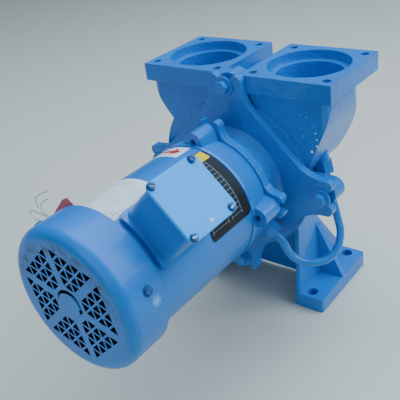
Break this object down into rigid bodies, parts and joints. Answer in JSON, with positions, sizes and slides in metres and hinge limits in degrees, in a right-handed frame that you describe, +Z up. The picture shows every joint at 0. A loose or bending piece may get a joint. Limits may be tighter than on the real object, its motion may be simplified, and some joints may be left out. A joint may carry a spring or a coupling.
{
  "type": "close-coupled centrifugal pump",
  "caption": "Blue enamelled close-coupled centrifugal pump with side-by-side square-flanged ports, star-shaped adapter, fan-cooled motor with triangle-hole grille, conduit box and cast foot.",
  "frame": {"origin": "centre of the foot's four bolt holes, on the underside of the pads", "axes": "+Z up along the ports, +Y along the shaft from the fan end to the pump end, +X to the right seen from the fan end"},
  "size_m": [0.2569, 0.4273, 0.325],
  "materials": {
    "blue_enamel": "glossy light-blue enamel over castings and pressings",
    "bright_steel": "ground shaft steel",
    "fan_plastic": "dark moulded fan",
    "bare_casting": "bare cast iron"
  },
  "bodies": {
    "pump": {"motor_frame": "blue_enamel", "drive_end_bell": "blue_enamel", "rear_end_bell": "blue_enamel", "fan_cover": "blue_enamel", "adapter": "blue_enamel", "casing": "blue_enamel", "foot": "blue_enamel", "conduit_box": "blue_enamel", "conduit_box_cover": "blue_enamel", "flush_fitting_lower": "blue_enamel", "flush_tube": "blue_enamel", "flush_fitting_upper": "blue_enamel", "ear_bolt_top": "blue_enamel", "ear_bolt_right": "blue_enamel", "ear_bolt_bottom": "blue_enamel", "ear_bolt_left": "blue_enamel", "motor_bolt_top": "blue_enamel", "motor_bolt_right": "blue_enamel", "motor_bolt_bottom": "blue_enamel", "motor_bolt_left": "blue_enamel"},
    "rotor": {"motor_shaft": "bright_steel", "cooling_fan": "fan_plastic", "impeller": "bare_casting"}
  },
  "joints": [
    {"name": "rotor_spin", "type": "hinge", "parent": "pump", "child": "rotor", "pos_m": [0.02, -0.1, 0.198], "axis": [0, 1, 0], "continuous": true}
  ]
}
